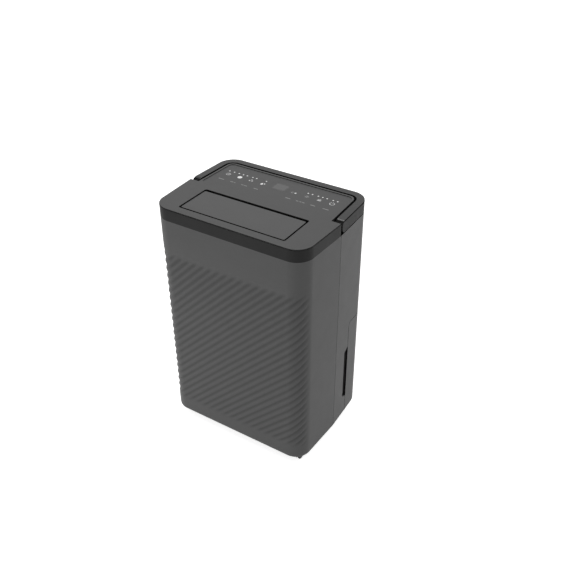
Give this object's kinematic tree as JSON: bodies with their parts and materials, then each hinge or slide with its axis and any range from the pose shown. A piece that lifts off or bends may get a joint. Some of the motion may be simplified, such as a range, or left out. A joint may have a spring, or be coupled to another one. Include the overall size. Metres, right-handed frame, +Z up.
{
  "type": "dehumidifier",
  "caption": "Portable upright dehumidifier with a flat top, outlet flap, flush carry handle, rear water tank and small twin-wheel casters.",
  "frame": {"origin": "on the floor, under the middle of the body", "axes": "+X to the right seen from the front, +Y to the rear, +Z up"},
  "size_m": [0.324, 0.235, 0.5],
  "materials": {
    "body": "fine texture, dark grey",
    "tank_shell": "fine texture, dark grey",
    "band": "fine texture, charcoal",
    "plate": "fine texture, dark grey",
    "flap": "fine texture, dark grey",
    "handle": "fine texture, dark grey",
    "handle_cap": "fine texture, dark grey",
    "window": "smoked, smooth",
    "grille": "fine texture, dark grey",
    "inner_plastic": "moulded black",
    "fan_plastic": "moulded black",
    "float_plastic": "foamed white",
    "filter_mesh": "woven nylon mesh",
    "circuit_board": "solder mask",
    "lights": "clear white lamps",
    "black_plastic": "moulded black",
    "wheel_plastic": "moulded black nylon",
    "steel": "zinc plated",
    "magnet": "nickel plated",
    "black_metal": "satin black paint",
    "iron": "machined casting",
    "motor_metal": "galvanised can",
    "can_metal": "drawn can",
    "rubber": "moulded black",
    "fin_metal": "bare fins",
    "copper": "drawn copper"
  },
  "bodies": {
    "chassis": {"base_pan": "body", "bay_liner": "inner_plastic", "capillary_tube": "copper", "casing_screws": "steel", "compressor_pump": "iron", "compressor_shell": "black_metal", "condenser_fins": "fin_metal", "condenser_tube": "copper", "control_board": "circuit_board", "cord_gland": "black_plastic", "discharge_pipe": "copper", "display_window": "window", "drip_tray": "inner_plastic", "evaporator_fins": "fin_metal", "evaporator_tube": "copper", "fan_motor": "motor_metal", "filter_drier": "copper", "foot_bolts": "steel", "foot_grommets": "rubber", "front_casing": "body", "humidity_sensor": "circuit_board", "indicator_lights": "lights", "liquid_pipe": "copper", "power_board": "circuit_board", "power_box": "inner_plastic", "rear_casing": "body", "return_pipe": "copper", "run_capacitor": "can_metal", "scroll_cover": "inner_plastic", "scroll_drum": "inner_plastic", "suction_accumulator": "black_metal", "suction_pipe": "copper", "tank_switch": "black_plastic", "top_band": "band", "top_plate": "plate"},
    "flap": {"outlet_flap": "flap"},
    "handle": {"carry_handle": "handle", "handle_cap": "handle_cap", "handle_pins": "steel"},
    "fan": {"fan_wheel": "fan_plastic", "fan_shaft": "steel"},
    "tank": {"tank_bucket": "tank_shell", "tank_lid": "inner_plastic"},
    "float": {"tank_float": "float_plastic", "float_magnet": "magnet"},
    "intake": {"intake_grille": "grille", "dust_filter": "filter_mesh"},
    "swivel_front_right": {"caster_fork_front_right": "black_plastic"},
    "wheels_front_right": {"caster_wheels_front_right": "wheel_plastic", "caster_axle_front_right": "steel"},
    "swivel_front_left": {"caster_fork_front_left": "black_plastic"},
    "wheels_front_left": {"caster_wheels_front_left": "wheel_plastic", "caster_axle_front_left": "steel"},
    "swivel_rear_right": {"caster_fork_rear_right": "black_plastic"},
    "wheels_rear_right": {"caster_wheels_rear_right": "wheel_plastic", "caster_axle_rear_right": "steel"},
    "swivel_rear_left": {"caster_fork_rear_left": "black_plastic"},
    "wheels_rear_left": {"caster_wheels_rear_left": "wheel_plastic", "caster_axle_rear_left": "steel"}
  },
  "joints": [
    {"name": "handle_lift", "type": "hinge", "parent": "chassis", "child": "handle", "pos_m": [0, 0.0135, 0.4885], "axis": [1, 0, 0], "range_deg": [0, 90]},
    {"name": "flap_tilt", "type": "hinge", "parent": "chassis", "child": "flap", "pos_m": [0, -0.0283, 0.495], "axis": [-1, 0, 0], "range_deg": [0, 70]},
    {"name": "tank_slide", "type": "slide", "parent": "chassis", "child": "tank", "axis": [0, 1, 0], "range_m": [0, 0.13]},
    {"name": "float_lift", "type": "hinge", "parent": "tank", "child": "float", "pos_m": [0.06, 0.0998, 0.227], "axis": [-1, 0, 0], "range_deg": [0, 18]},
    {"name": "intake_slide", "type": "slide", "parent": "chassis", "child": "intake", "axis": [0, 1, 0], "range_m": [0, 0.04]},
    {"name": "fan_spin", "type": "hinge", "parent": "chassis", "child": "fan", "pos_m": [-0.004, -0.0625, 0.352], "axis": [0, 1, 0], "continuous": true},
    {"name": "swivel_front_right", "type": "hinge", "parent": "chassis", "child": "swivel_front_right", "pos_m": [0.137, -0.0855, 0.0199], "axis": [0, 0, 1], "continuous": true},
    {"name": "roll_front_right", "type": "hinge", "parent": "swivel_front_right", "child": "wheels_front_right", "pos_m": [0.137, -0.09, 0.0092], "axis": [1, 0, 0], "continuous": true},
    {"name": "swivel_front_left", "type": "hinge", "parent": "chassis", "child": "swivel_front_left", "pos_m": [-0.137, -0.0855, 0.0199], "axis": [0, 0, 1], "continuous": true},
    {"name": "roll_front_left", "type": "hinge", "parent": "swivel_front_left", "child": "wheels_front_left", "pos_m": [-0.137, -0.09, 0.0092], "axis": [1, 0, 0], "continuous": true},
    {"name": "swivel_rear_right", "type": "hinge", "parent": "chassis", "child": "swivel_rear_right", "pos_m": [0.137, 0.0855, 0.0199], "axis": [0, 0, 1], "continuous": true},
    {"name": "roll_rear_right", "type": "hinge", "parent": "swivel_rear_right", "child": "wheels_rear_right", "pos_m": [0.137, 0.081, 0.0092], "axis": [1, 0, 0], "continuous": true},
    {"name": "swivel_rear_left", "type": "hinge", "parent": "chassis", "child": "swivel_rear_left", "pos_m": [-0.137, 0.0855, 0.0199], "axis": [0, 0, 1], "continuous": true},
    {"name": "roll_rear_left", "type": "hinge", "parent": "swivel_rear_left", "child": "wheels_rear_left", "pos_m": [-0.137, 0.081, 0.0092], "axis": [1, 0, 0], "continuous": true}
  ]
}
